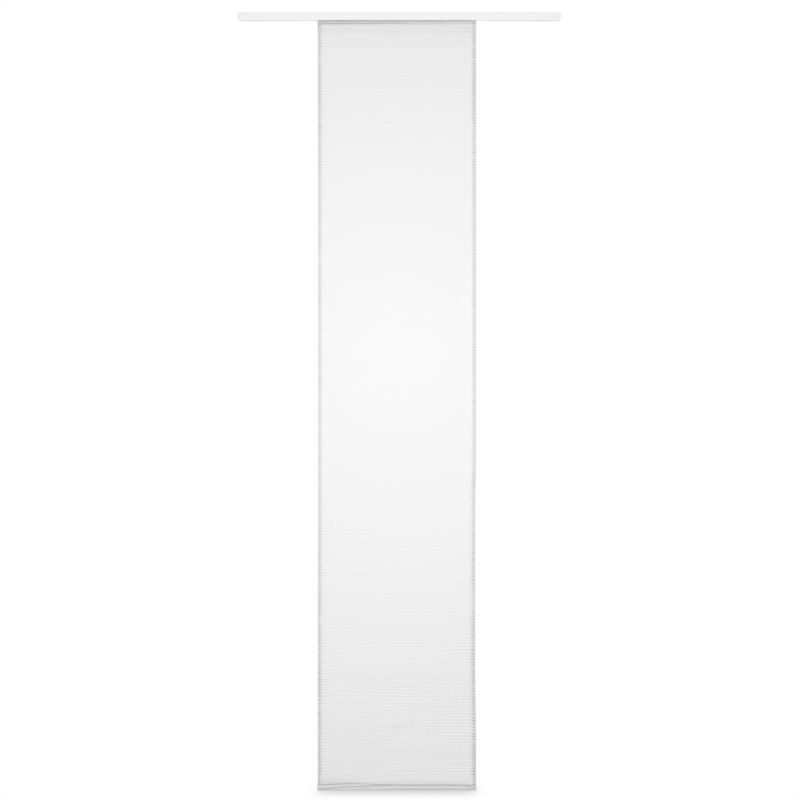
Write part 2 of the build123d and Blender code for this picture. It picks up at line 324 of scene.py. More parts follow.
def ladder_shade(x, z, cloth):
    """Painted shade of the pinches in the side hems, from 0 to 1: darker where the top hem holds them flat.
    """
    return LADDER_SHADE * (1.7 - 0.7 * hangs_free(x, z, cloth)) * hem_valleys(x, z, cloth)


def corner_shade(x, z, cloth):
    """Painted shade of the top corners, from 0 to 1, where a side hem's layers cross the top hem.

    It starts at the top seam and fades over 5 mm at the right and over 20 mm at the left.
    """
    right, width, inside = hem_side(x, cloth)
    over = 1 - ease(inside, 0.6 * width, np.where(right, 1.1, 0.9) * width)
    start = 0.9 * cloth.top_seam
    full = start + 3 * MM
    down = ease(z, start, full) - ease(z, full, full + np.where(right, 5 * MM, 20 * MM))
    return np.where(right, 0.5, 0.7) * over * down


def hem_lift(x, cloth):
    """How far the bottom seam runs above its level: up beside the left corner, and a little unevenly."""
    stations = np.array([0.0, 0.08, 0.17, 0.27, 0.38, 0.45, 0.97, 1.0]) * PANEL_WIDTH
    shares = np.interp(x, stations, [0.03, 0.19, 0.40, 0.40, 0.18, 0.02, 0.02, 0.10])
    uneven = 0.02 * smooth_field(x, 0.0, 0.10, 1.0, seed=31)
    return np.maximum(shares + uneven, 0.0) * cloth.bottom_hem


def bottom_seam(x, cloth):
    """Drop of the bottom hem's seam."""
    return PANEL_DROP - cloth.bottom_hem - hem_lift(x, cloth)


def tape_shade(z, cloth):
    """Painted shade at the top, from 0 to 1, where the tapes and the carrier keep the light from coming
    through.
    """
    near = 1 - ease(z, 1.75 * cloth.top_hem, 2.4 * cloth.top_hem)
    return 0.09 * near + 0.06 * (1 - ease(z, 1.75 * cloth.top_hem, 6 * cloth.top_hem))


def seam_shade(x, z, cloth):
    """Painted shade along the bottom seam, from 0 to 1.

    It is (1 - w) exp(-a / 4.4 mm) + w exp(-a / 20 mm) at a height a above the seam, and exp(-b / 1.2 mm) at
    a drop b below it. The wide share w ends with the smooth strip and grows towards the left corner, where
    more layers meet. The shade is fainter where the seam comes down from its rise, and beside the right
    corner, which has a fold instead.
    """
    above = bottom_seam(x, cloth) - z
    up, down = np.maximum(above, 0.0), np.maximum(-above, 0.0)
    wide = (0.26 + 0.48 * np.exp(-x / (70 * MM))) * (1 - ease(up, 0.9 * STRIP, 1.1 * STRIP))
    near = (1 - wide) * np.exp(-up / (4.4 * MM)) + wide * np.exp(-up / (20 * MM))
    near = near * np.exp(-down / (1.2 * MM))
    stations = np.array([0.26, 0.32, 0.38, 0.46, 0.94, 0.955, 0.97, 0.985]) * PANEL_WIDTH
    return near * np.interp(x, stations, [0.85, 0.45, 0.60, 1.0, 1.0, 0.3, 0.3, 1.0])


def relief(x, z, cloth):
    """How far the cloth stands towards the room, in metres.

    relief = height / 2 (ribs + lone ribs) - pucker valleys + flare + slow waves. The flare is the fullness
    above the bottom seam, (1 - exp(-a / r)) exp(-a / 10 r) at a height a above it. The weight bar pulls the
    ribs smooth on a strip above that seam, and the top hem holds the rest flat.
    """
    above = np.maximum(bottom_seam(x, cloth) - z, 0.0)
    rise = 1.3 * MM
    flare = cloth.flare * (1 - np.exp(-above / rise)) * np.exp(-above / (10 * rise))
    free = 1 - np.exp(-above / (8 * rise))
    slow = 0.9 * MM * smooth_field(x, z, 0.9, 1.3, seed=13) * ease(z, 0.0, 0.5)
    both = ease(above, 0.6 * STRIP, 1.05 * STRIP) * ribs(x, z, cloth) + LONE_RIB_RISE * lone_ribs(x, z)
    folds = cloth.rib_height / 2 * both - cloth.pucker * hem_valleys(x, z, cloth)
    return hangs_free(x, z, cloth) * free * (folds + slow) + flare


def sheet_middle(cloth):
    """Depth of the middle of the front layer, which lies one layer in front of the loop tape."""
    return TAPE_FRONT - 1.5 * cloth.thickness


def drawn_in(x, z):
    """How far slack draws the cloth across: its left edge inwards at mid-height, its right edge lower."""
    share = z / PANEL_DROP
    left = 1.2 * MM * (ease(share, 0.06, 0.18) - ease(share, 0.62, 0.80))
    left = left + 0.8 * MM * (ease(share, 0.30, 0.45) - ease(share, 0.45, 0.60))
    right = 3.0 * MM * (ease(share, 0.56, 0.64) - ease(share, 0.84, 0.94))
    return left * (1 - x / PANEL_WIDTH) - right * x / PANEL_WIDTH


def place(x, y, z):
    """Points in the frame from places across and down the panel and a depth."""
    return np.stack(np.broadcast_arrays(PANEL_LEFT + x + drawn_in(x, z), y, PANEL_TOP - z), axis=-1)


def rows_down(x, cloth):
    """Drops of the rows that the sheet and the side hems share, closer together near the bottom.

    They start under the top hem's lip and end in the wall of the bottom hem, just below its seam.
    """
    low = 1 - 4 * cloth.bottom_hem / PANEL_DROP
    share = np.concatenate([np.linspace(0.0, low, SHEET_ROWS), np.linspace(low, 1.0, LOW_ROWS)[1:]])[:, None]
    start = cloth.top_seam + 2.5 * MM
    end = bottom_seam(x, cloth) + 0.6 * cloth.thickness
    return start + share * (end - start)


def cloth_sheet(cloth):
    """Points and painted shade of the single layer between the hems: a grid with a front and a back.

    y = middle -/+ half a thickness - relief(x, z). Its edges are tucked into the hems.
    """
    near = np.array([-3.0, 0.0, 2.5, 6.0, 11.0, 18.0]) * MM
    left, right = cloth.left_hem + near, PANEL_WIDTH - cloth.right_hem - near[::-1]
    x = np.concatenate([left, np.linspace(left[-1], right[0], SHEET_COLUMNS)[1:-1], right])[None, :]
    z = rows_down(x, cloth)
    middle = sheet_middle(cloth) - relief(x, z, cloth)
    front = place(x, middle - cloth.thickness / 2, z)
    back = place(x, middle + cloth.thickness / 2, z)
    # Painted shade of the side hems' pinches, the bottom seam and the top, and a painted highlight and shade
    # on the lone ribs.
    pinch_and_painted_shade = np.maximum(ladder_shade(x, z, cloth), seam_shade(x, z, cloth))
    pinch_and_painted_shade = pinch_and_painted_shade + tape_shade(z, cloth) - LONE_RIB_SHADE * lone_ribs(x, z)
    return np.concatenate([front, back[:, ::-1]], axis=1), np.concatenate([pinch_and_painted_shade, pinch_and_painted_shade[:, ::-1]], axis=1)


def side_hem(cloth, width, at_right):
    """Points and painted shade of a folded edge: a flat oval of two layers carried down the panel.

    The oval is x = w / 2 |cos t|^0.4, y = h / 2 |sin t|^0.6 with their signs. The pinches push it back
    and draw its free edge in by a share of that.
    """
    angle = np.linspace(0.0, TURN, SIDE_HEM_POINTS, endpoint=False)[None, :]
    half_x = np.sign(np.cos(angle)) * np.abs(np.cos(angle)) ** 0.4
    half_y = np.sign(np.sin(angle)) * np.abs(np.sin(angle)) ** 0.6
    centre = PANEL_WIDTH - width / 2 if at_right else width / 2
    x = centre + half_x * width / 2
    z = rows_down(x, cloth)
    depth = sheet_middle(cloth) + cloth.thickness / 2 + half_y * cloth.thickness
    y = depth - relief(x, z, cloth)
    outward = 1 if at_right else -1
    drawn = 0.3 * cloth.pucker * hem_valleys(x, z, cloth) * ease(outward * half_x, 0.0, 1.0)
    # Painted shade of the pinches, the bottom seam and the top corners.
    pinch_and_painted_shade = np.maximum(ladder_shade(x, z, cloth), seam_shade(x, z, cloth))
    return place(x - outward * drawn, y, z), np.maximum(pinch_and_painted_shade, corner_shade(x, z, cloth))


def top_seam(x, cloth):
    """Drop of the top hem's upper seam, which wavers a little."""
    return cloth.top_seam + 0.5 * MM * smooth_field(x, 0.0, 0.12, 1.0, seed=23)


def over_right_hem(x):
    """1 where the top hem lies over the right side hem, and 0 elsewhere."""
    return ease(x, 0.970 * PANEL_WIDTH, 0.978 * PANEL_WIDTH)


def top_fullness(x):
    """How full the top hem is below its seam: 1, or a quarter towards the right, short of the side hem."""
    return 1 - 0.75 * (ease(x, 0.50 * PANEL_WIDTH, 0.62 * PANEL_WIDTH) - over_right_hem(x))


def seam_groove(x, z, cloth):
    """The groove along the top seam, from 0 to 1: exp(-(b / w)^2) at a drop b below or above it.

    Its width w is 1.6 mm, and up to 3.8 mm below the seam towards the left.
    """
    below = z - top_seam(x, cloth)
    wide = 2.2 * MM * (1 - ease(x, 0.10 * PANEL_WIDTH, 0.50 * PANEL_WIDTH))
    return np.exp(-(below / (1.6 * MM + np.where(below > 0, wide, 0.0))) ** 2)


def top_front(x, z, cloth):
    """Depth of the top hem's front: it leans back above its seam and is full below it.

    Above the seam it leans back by 1 mm (1 - z / seam)^1.5. Below it, it stands out by
    lip (b / r) exp(1 - b / r) at a drop b. The groove along the seam is 0.7 mm deep.
    """
    seam = top_seam(x, cloth)
    below = np.maximum(z - seam, 0.0)
    rise = 1.5 * MM
    lip = top_fullness(x) * cloth.lip * below / rise * np.exp(1 - below / rise) + 0.1 * MM
    lean = 1.0 * MM * np.maximum(1 - z / seam, 0.0) ** 1.5
    offset = np.where(z <= seam, lean, -lip) + 0.7 * MM * seam_groove(x, z, cloth)
    return np.minimum(sheet_middle(cloth) - cloth.thickness / 2 + offset, TAPE_FRONT - 0.4 * MM)


def top_hem(cloth):
    """Points and painted shade of the top edge, a profile carried across.

    The profile runs down the front by top_front, steps in behind the single layer, goes down to the
    hem's lower edge and comes back up along the loop tape.
    """
    x = np.linspace(0.0, PANEL_WIDTH, CROSS_POINTS)[:, None]
    upper, lower = np.linspace(0.0, 1.0, FRONT_POINTS), np.linspace(1.0, 1.6, FRONT_POINTS)[1:]
    share = np.concatenate([upper, lower])[None, :]
    z = share * top_seam(x, cloth)
    front = place(x, top_front(x, z, cloth), z)
    step = np.array([[1.7 * cloth.top_seam, cloth.top_hem]])
    inner = place(x, sheet_middle(cloth) + cloth.thickness / 2, step)
    back = place(x, TAPE_FRONT, np.linspace(cloth.top_hem, 0.0, BACK_POINTS)[None, :])
    # Painted shade: a dark band along the top edge, where shade falls under the track, darker at the left end
    # and lighter towards the right, and a dark line along the seam's groove and over the side hems' corners.
    light = ease(x, 0.74 * PANEL_WIDTH, 0.86 * PANEL_WIDTH) - over_right_hem(x)
    band = (1 - 0.6 * light) * (0.16 + 0.22 * (1 - ease(share, 0.5, 0.95)))
    edge = 0.16 + 0.35 * (1 - ease(x, 25 * MM, 50 * MM))
    band = band + edge * (1 - ease(share, 0.25, 0.45))
    shade = np.maximum(top_fullness(x) * seam_groove(x, z, cloth), band * (share <= 1))
    shade = np.maximum(shade, corner_shade(x, z, cloth))
    plain = np.zeros((len(x), inner.shape[1] + back.shape[1]))
    return np.concatenate([front, inner, back], axis=1), np.concatenate([shade, plain], axis=1)


def fold_line(x, cloth):
    """Height of the fold in the bottom hem's front above its lower edge, and its sharpness from 0 to 1.

    From the left corner it climbs to the seam and is lost in it. Near the right corner it leaves the seam
    and drops.
    """
    stations = np.array([0.0, 0.08, 0.19, 0.28, 0.36, 0.90, 0.97, 1.0]) * PANEL_WIDTH
    shares = np.interp(x, stations, [0.26, 0.50, 0.80, 0.88, 1.0, 1.0, 0.85, 0.55])
    left = 1 - ease(x, 0.40 * PANEL_WIDTH, 0.52 * PANEL_WIDTH)
    right = ease(x, 0.90 * PANEL_WIDTH, 0.96 * PANEL_WIDTH)
    return shares * cloth.bottom_hem, left + right


def bottom_hem(cloth):
    """Points and painted shade of the weight bar's tunnel: an outer and an inner loop, joined at their ends.

    A loop is a slot round the bar, y = a cos t and z = a sin t + (b - a) tanh(5 sin t), with a its half
    depth and b its half height. Its top is drawn up to the seam, and its lower edge sags a little. The
    front stands out over the fold by exp(-d / 5 mm) at a height d above it, and falls back below it by
    exp(d / 0.7 mm), so that it never comes nearer to the bar than the slot. A painted shade runs along the
    fold, and towards the lower edge painted shade darkens the hem, as the floor close below gives little
    light, but less so at the left, below the fold.
    """
    x = np.linspace(0.0, PANEL_WIDTH, CROSS_POINTS)[:, None]
    angle = np.linspace(0.0, TURN, TUNNEL_POINTS, endpoint=False)[None, :]
    side, up = np.cos(angle), np.sin(angle)
    half_depth, half_height = cloth.bottom_depth / 2, cloth.bottom_hem / 2
    sag = 0.35 * MM * np.maximum(1 + smooth_field(x, 0.0, 0.16, 1.0, seed=37), 0.0)
    line, sharp = fold_line(x, cloth)
    front = ease(-side, 0.05, 0.45)
    # Painted shade towards the lower edge, where the floor close below gives little light: less at the left.
    under = UNDER_SHADE * np.interp(x / PANEL_WIDTH, [0.06, 0.14, 0.40, 0.47], [0.5, 0.2, 0.2, 1.0])

    def loop(inset):
        radius = half_depth - inset
        rise = radius * up + (half_height - half_depth) * np.tanh(5 * up)
        rise = rise + hem_lift(x, cloth) * ease(up, 0.55, 1.0) - sag * ease(-up, 0.0, 1.0)
        over = half_height + rise - line
        fold = np.exp(-np.maximum(over, 0.0) / (5 * MM) + np.minimum(over, 0.0) / (0.7 * MM))
        ripple = 0.2 * MM * np.maximum(1 + smooth_field(x, rise, 0.035, 0.012, seed=41, waves=30), 0.0)
        y = sheet_middle(cloth) + side * (radius + ripple) - cloth.fold * sharp * fold * front
        z = PANEL_DROP - half_height - rise
        # Painted shade along the fold, and towards the lower edge.
        tucked = FOLD_SHADE * sharp * front * np.exp(-((over + 0.8 * MM) / (2.0 * MM)) ** 2)
        low = under * (1 - ease(half_height + rise, 0.05 * cloth.bottom_hem, 0.65 * cloth.bottom_hem))
        return place(x, y, z), np.maximum(seam_shade(x, z, cloth), np.maximum(tucked, low))

    (outer, outer_painted_shade), (inner, inner_painted_shade) = loop(0.0), loop(cloth.thickness)
    return np.concatenate([outer, inner[::-1]]), np.concatenate([outer_painted_shade, inner_painted_shade[::-1]])


# Stitches


def stitch_row(starts, ends, cloth):
    """Stitches between pairs of points: each a thread that dips into the cloth at both its ends.

    Rings of points follow the stitch; a ring's radius is r sin(pi s) to the power 0.45.
    """
    s = np.linspace(0.04, 0.96, STITCH_RINGS)[None, :, None, None]
    angle = np.linspace(0.0, TURN, STITCH_SIDES, endpoint=False)[None, None, :, None]
    along = (ends - starts)[:, None, None, :]
    forward = along / np.linalg.norm(along, axis=-1, keepdims=True)
    out = np.array([0.0, 1.0, 0.0])
    aside = np.cross(forward, out)
    radius = cloth.thread / 2 * np.sin(np.pi * s) ** 0.45
    points = starts[:, None, None, :] + along * s + radius * (np.cos(angle) * aside + np.sin(angle) * out)
    return points.reshape(-1, 3)


def stitch_faces(count):
    """Faces of a number of stitches, each a tube of rings with both its ends closed."""
    first = (np.arange(count) * STITCH_RINGS * STITCH_SIDES)[:, None, None]
    tube = np.array(grid_faces(STITCH_RINGS, STITCH_SIDES, False))
    ring = np.arange(STITCH_SIDES)
    ends = np.stack([ring, STITCH_RINGS * STITCH_SIDES - 1 - ring])
    return (first + tube).reshape(-1, 4).tolist() + (first + ends).reshape(-1, STITCH_SIDES).tolist()


def seam_line(path, cloth):
    """Start and end points of the stitches along a line of points, at the stitch pitch with small gaps."""
    step = np.concatenate([[0.0], np.cumsum(np.linalg.norm(np.diff(path, axis=0), axis=1))])
    count = int(step[-1] / cloth.stitch_pitch)
    at = (np.arange(count)[:, None] + np.array([0.08, 0.92])) * cloth.stitch_pitch
    ends = np.stack([np.interp(at, step, path[:, axis]) for axis in range(3)], axis=-1)
    return ends[:, 0], ends[:, 1]


def sew(name, paths, cloth, material):
    """One object of all the stitches along several lines."""
    rows = [seam_line(path, cloth) for path in paths]
    points = np.concatenate([stitch_row(starts, ends, cloth) for starts, ends in rows])
    count = sum(len(starts) for starts, _ in rows)
    return mesh_object(name, points, stitch_faces(count), material)


def side_seams(cloth):
    """Lines down the inner edges of both side hems, in front and behind."""
    lines = []
    for edge in (cloth.left_hem - 1.5 * MM, PANEL_WIDTH - cloth.right_hem + 1.5 * MM):
        down = np.linspace(cloth.top_hem, bottom_seam(edge, cloth) - 2 * MM, SEAM_POINTS_DOWN)
        depth = sheet_middle(cloth) - relief(edge, down, cloth)
        lines.append(place(edge, depth - 0.6 * cloth.thickness, down))
        lines.append(place(edge, depth + 1.6 * cloth.thickness, down))
    return lines


def cross_seams(cloth):
    """Lines across the top hem's two seams in front, and the bottom hem's seam in front and behind."""
    across = np.linspace(4 * MM, PANEL_WIDTH - 4 * MM, SEAM_POINTS_ACROSS)
    upper, lower = top_seam(across, cloth), cloth.top_hem - 1 * MM
    bottom = bottom_seam(across, cloth) - 0.6 * MM
    middle, out = sheet_middle(cloth), 0.6 * cloth.thickness
    bulge = relief(across, bottom, cloth)
    return [
        place(across, top_front(across, upper, cloth) - 0.1 * MM, upper),
        place(across, middle - out - relief(across, lower, cloth), lower),
        place(across, middle - out - bulge, bottom),
        place(across, middle + out - bulge, bottom),
    ]


# Materials


def node(tree, kind, settings=None, inputs=None):
    """A new shader node with its settings. Each input gets a value, or a link from an output."""
    made = tree.nodes.new("ShaderNode" + kind)
    for name, value in (settings or {}).items():
        setattr(made, name, value)
    for key, value in (inputs or {}).items():
        if isinstance(value, bpy.types.NodeSocket):
            tree.links.new(value, made.inputs[key])
        else:
            made.inputs[key].default_value = value
    return made


def material(name, **sockets):
    """A material with one Principled shader, whose plain values are given by socket name."""
    made = bpy.data.materials.new(name)
    made.use_nodes = True
    tree = made.node_tree
    shader = tree.nodes["Principled BSDF"]
    for key, value in sockets.items():
        shader.inputs[key.replace("_", " ")].default_value = value
    return made, tree, shader


def scale_of(spacing):
    """Scale of a noise texture on Object coordinates whose blots lie about a spacing apart, in metres."""
    return 1 / spacing


def bands_of(spacing):
    """Scale of a wave texture on Object coordinates whose bands lie a spacing apart, in metres."""
    return TURN / (20 * spacing)


def vary(tree, shader, base, factor, darkest):
    """Colours a shader between a share of its base colour and the base itself."""
    dark = [c * darkest for c in base[:3]] + [1.0]
    mix = node(tree, "Mix", {"data_type": "RGBA"}, {"Factor": factor, 6: dark, 7: list(base)})
    tree.links.new(mix.outputs[2], shader.inputs["Base Color"])


def crinkled_polyester(name, base):
    """Woven polyester, crash-pressed: matt, with faint slubs along the weft and a fine plain weave.

    The real threads lie 0.4 mm apart. They are drawn 1.6 mm apart, so that they show. Where a hem is
    pinched, its layers lie close and let less light through, and along seams, folds and edges shade falls:
    an attribute paints this shade into the colour, and paints a highlight on a lone rib's crest.
    """
    made, tree, shader = material(name, Roughness=0.9, IOR=1.5, Specular_IOR_Level=0.25)
    spot = node(tree, "TexCoord").outputs["Object"]
    stretched = node(tree, "Mapping", None, {"Vector": spot, "Scale": (0.05, 1.0, 1.0)}).outputs["Vector"]
    slub = node(tree, "TexNoise", None, {"Vector": stretched, "Scale": scale_of(3 * MM), "Detail": 3.0})
    warp = node(tree, "TexWave", {"bands_direction": "X"},
                {"Vector": spot, "Scale": bands_of(1.6 * MM), "Distortion": 0.6, "Detail": 1.0})
    weft = node(tree, "TexWave", {"bands_direction": "Z"},
                {"Vector": spot, "Scale": bands_of(1.6 * MM), "Distortion": 0.6, "Detail": 1.0})
    weave = node(tree, "Math", {"operation": "MULTIPLY"}, {0: warp.outputs["Fac"], 1: weft.outputs["Fac"]})
    bump = node(tree, "Bump", None, {"Strength": 0.25, "Distance": 0.25 * MM, "Height": weave.outputs[0]})
    lines = node(tree, "Bump", None, {"Strength": 0.08, "Distance": 0.4 * MM, "Height": slub.outputs["Fac"],
                                      "Normal": bump.outputs["Normal"]})
    tree.links.new(lines.outputs["Normal"], shader.inputs["Normal"])
    faint = node(tree, "Math", {"operation": "MULTIPLY_ADD"}, {0: slub.outputs["Fac"], 1: 0.06, 2: 0.94})
    # The attribute's painted shade darkens the colour, and a value below 0 lightens it as a painted
    # highlight.
    pinch_and_painted_shade = node(tree, "Attribute", {"attribute_name": "pinch_and_painted_shade"})
    shade = node(tree, "Math", {"operation": "MULTIPLY_ADD"},
                 {0: pinch_and_painted_shade.outputs["Fac"], 1: -0.9, 2: faint.outputs[0]})
    vary(tree, shader, base, shade.outputs[0], 0.60)
    return made


def spun_thread(name, base):
    """Polyester sewing thread: two plies twisted, with a soft shine along the twist and painted shade between
    the plies.
    """
    made, tree, shader = material(name, Roughness=0.55, IOR=1.5)
    spot = node(tree, "TexCoord").outputs["Object"]
    twist = node(tree, "TexWave", {"bands_direction": "DIAGONAL"},
                 {"Vector": spot, "Scale": bands_of(0.6 * MM)})
    bump = node(tree, "Bump", None, {"Strength": 0.5, "Distance": 0.1 * MM, "Height": twist.outputs["Fac"]})
    tree.links.new(bump.outputs["Normal"], shader.inputs["Normal"])
    # The twist's bands darken the colour between the plies: painted shade.
    vary(tree, shader, base, twist.outputs["Fac"], 0.88)
    return made


def powder_coat(name, base):
    """White polyester powder on extruded aluminium: satin, with a faint orange peel 2 mm across."""
    made, tree, shader = material(name, IOR=1.5, Specular_IOR_Level=0.4)
    spot = node(tree, "TexCoord").outputs["Object"]
    peel = node(tree, "TexNoise", None, {"Vector": spot, "Scale": scale_of(2 * MM), "Detail": 2.0})
    bump = node(tree, "Bump", None, {"Strength": 0.12, "Distance": 0.15 * MM, "Height": peel.outputs["Fac"]})
    tree.links.new(bump.outputs["Normal"], shader.inputs["Normal"])
    rough = node(tree, "MapRange", None, {"Value": peel.outputs["Fac"], "To Min": 0.36, "To Max": 0.5})
    tree.links.new(rough.outputs["Result"], shader.inputs["Roughness"])
    vary(tree, shader, base, peel.outputs["Fac"], 0.985)
    return made


def spark_moulded(name, base):
    """White ABS from a spark-eroded mould: matt, with a grain of about half a millimetre."""
    made, tree, shader = material(name, IOR=1.53, Specular_IOR_Level=0.4)
    spot = node(tree, "TexCoord").outputs["Object"]
    grain = node(tree, "TexNoise", None, {"Vector": spot, "Scale": scale_of(0.5 * MM), "Detail": 2.0})
    bump = node(tree, "Bump", None, {"Strength": 0.2, "Distance": 0.08 * MM, "Height": grain.outputs["Fac"]})
    tree.links.new(bump.outputs["Normal"], shader.inputs["Normal"])
    rough = node(tree, "MapRange", None, {"Value": grain.outputs["Fac"], "To Min": 0.5, "To Max": 0.65})
    tree.links.new(rough.outputs["Result"], shader.inputs["Roughness"])
    vary(tree, shader, base, grain.outputs["Fac"], 0.97)
    return made


def moulded_acetal(name, base):
    """Acetal wheels: waxy and smooth, with a faint mottle from the mould 0.8 mm across."""
    made, tree, shader = material(name, Roughness=0.32, IOR=1.48)
    spot = node(tree, "TexCoord").outputs["Object"]
    mottle = node(tree, "TexNoise", None, {"Vector": spot, "Scale": scale_of(0.8 * MM), "Detail": 3.0})
    bump = node(tree, "Bump", None, {"Strength": 0.1, "Distance": 0.05 * MM, "Height": mottle.outputs["Fac"]})
    tree.links.new(bump.outputs["Normal"], shader.inputs["Normal"])
    vary(tree, shader, base, mottle.outputs["Fac"], 0.94)
    return made


def metal(name, base, spacing, squeeze, smooth, rough):
    """A bare metal with fine lines one way: noise squeezed along the lines drives roughness and bump."""
    made, tree, shader = material(name, Metallic=1.0)
    spot = node(tree, "TexCoord").outputs["Object"]
    turned = node(tree, "Mapping", None, {"Vector": spot, "Scale": squeeze}).outputs["Vector"]
    lines = node(tree, "TexNoise", None, {"Vector": turned, "Scale": scale_of(spacing), "Detail": 4.0})
    bump = node(tree, "Bump", None, {"Strength": 0.15, "Distance": 0.05 * MM, "Height": lines.outputs["Fac"]})
    tree.links.new(bump.outputs["Normal"], shader.inputs["Normal"])
    spread = node(tree, "MapRange", None, {"Value": lines.outputs["Fac"], "To Min": smooth, "To Max": rough})
    tree.links.new(spread.outputs["Result"], shader.inputs["Roughness"])
    vary(tree, shader, base, lines.outputs["Fac"], 0.85)
    return made


def zinc_plate(name, base):
    """Bright zinc on spring steel: a grey shine, blotched by the plating bath every few millimetres."""
    return metal(name, base, 3 * MM, (1.0, 1.0, 1.0), 0.28, 0.45)


def ground_steel(name, base):
    """Ground axle steel: rings round the axle, a tenth of a millimetre apart, drawn at 0.3 mm."""
    return metal(name, base, 0.3 * MM, (0.1, 1.0, 0.1), 0.2, 0.32)


def mill_aluminium(name, base):
    """Mill-finish aluminium bar: die lines along its length, half a millimetre apart."""
    return metal(name, base, 0.5 * MM, (0.01, 1.0, 1.0), 0.34, 0.5)


def hook_nylon(name, base):
    """Nylon hook tape: rows of moulded hooks 1.5 mm apart."""
    made, tree, shader = material(name, Roughness=0.5, IOR=1.53)
    spot = node(tree, "TexCoord").outputs["Object"]
    hooks = node(tree, "TexVoronoi", {"feature": "F1"},
                 {"Vector": spot, "Scale": scale_of(1.5 * MM), "Randomness": 0.35})
    bump = node(tree, "Bump", {"invert": True},
                {"Strength": 0.8, "Distance": 0.5 * MM, "Height": hooks.outputs["Distance"]})
    tree.links.new(bump.outputs["Normal"], shader.inputs["Normal"])
    vary(tree, shader, base, hooks.outputs["Distance"], 0.8)
    return made


def loop_nylon(name, base):
    """Nylon loop tape: a napped pile of loops about a millimetre across."""
    made, tree, shader = material(name, Roughness=0.95, IOR=1.53, Sheen_Weight=0.3)
    spot = node(tree, "TexCoord").outputs["Object"]
    pile = node(tree, "TexNoise", None, {"Vector": spot, "Scale": scale_of(1 * MM), "Detail": 5.0,
                                         "Distortion": 1.2})
    bump = node(tree, "Bump", None, {"Strength": 0.9, "Distance": 0.4 * MM, "Height": pile.outputs["Fac"]})
    tree.links.new(bump.outputs["Normal"], shader.inputs["Normal"])
    vary(tree, shader, base, pile.outputs["Fac"], 0.86)
    return made


def dress(finish, *names):
    """Gives carried-over nodes a finish in all their material slots."""
    for name in names:
        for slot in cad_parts[name].material_slots:
            slot.material = finish


def numbered(pattern):
    """Node names of the four roller trucks' pieces."""
    return [pattern.format(number) for number in range(1, 5)]


# Operators


class CURTAIN_OT_cloth(bpy.types.Operator):
    """Hangs the crinkled cloth, its hems and its stitching on the sliding panel"""
    bl_idname = "curtain.cloth"
    bl_label = "Hang the cloth"

    def execute(self, context):
        cloth = context.scene.curtain_cloth
        body = crinkled_polyester("crinkled_polyester", cloth.body_colour)
        # The hems get a darker copy of the cloth's material: painted shade.
        folded = crinkled_polyester("crinkled_polyester_folded_painted_shade", cloth.hem_colour)
        thread = spun_thread("sewing_thread", cloth.thread_colour)
        sheet = shell("cloth_sheet", *cloth_sheet(cloth), body)
        hems = [
            shell("side_hem_left", *side_hem(cloth, cloth.left_hem, False), folded),
            shell("side_hem_right", *side_hem(cloth, cloth.right_hem, True), folded),
            shell("top_hem", *top_hem(cloth), folded),
            shell("bottom_hem", *bottom_hem(cloth), folded, close_rows=True),
            sew("side_stitches", side_seams(cloth), cloth, thread),
            sew("cross_stitches", cross_seams(cloth), cloth, thread),
        ]
        for piece in [sheet, *hems]:
            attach(piece, "panel")
        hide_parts("curtain_panel")
        return {"FINISHED"}


class CURTAIN_OT_track(bpy.types.Operator):
    """Finishes the track, its end caps, stops and ceiling clips"""
    bl_idname = "curtain.track"
    bl_label = "Finish the track"

    def execute(self, context):
        track = context.scene.curtain_track
        dress(powder_coat("powder_coat", track.coating), "track_profile", "carrier_profile")
        moulded = spark_moulded("spark_moulded_abs", track.moulding)
        dress(moulded, "end_cap_left", "end_cap_right", "end_stop_left", "end_stop_right",
              "carrier_cap_left", "carrier_cap_right", "weight_bar_cap_left", "weight_bar_cap_right")
        plated = zinc_plate("zinc_plate", track.zinc)
        dress(plated, "ceiling_clip_left", "ceiling_clip_right", "end_stop_screws")
        return {"FINISHED"}


class CURTAIN_OT_rollers(bpy.types.Operator):
    """Finishes the roller trucks, wheels and axles"""
    bl_idname = "curtain.rollers"
    bl_label = "Finish the rollers"

    def execute(self, context):
        track = context.scene.curtain_track
        dress(spark_moulded("truck_abs", track.moulding), *numbered("truck_{}"))
        waxy = moulded_acetal("moulded_acetal", track.acetal)
        dress(waxy, *numbered("wheel_{}_front"), *numbered("wheel_{}_rear"))
        dress(ground_steel("ground_steel", track.steel), *numbered("axle_{}"))
        return {"FINISHED"}


class CURTAIN_OT_tapes(bpy.types.Operator):
    """Finishes the hook and loop tapes and the weight bar"""
    bl_idname = "curtain.tapes"
    bl_label = "Finish the tapes and the bar"

    def execute(self, context):
        track = context.scene.curtain_track
        dress(hook_nylon("hook_nylon", track.tape), "hook_tape")
        dress(loop_nylon("loop_nylon", track.tape), "loop_tape")
        dress(mill_aluminium("mill_aluminium", track.bar), "weight_bar")
        return {"FINISHED"}


def seen_by_eye(tree):
    """1 for what the camera, a mirror or a glass shows, and 0 for what only lights the scene."""
    path = node(tree, "LightPath")
    mirrored = node(tree, "Math", {"operation": "MAXIMUM"},
                    {0: path.outputs["Is Glossy Ray"], 1: path.outputs["Is Transmission Ray"]})
    return node(tree, "Math", {"operation": "MAXIMUM"},
                {0: path.outputs["Is Camera Ray"], 1: mirrored.outputs[0]}).outputs[0]


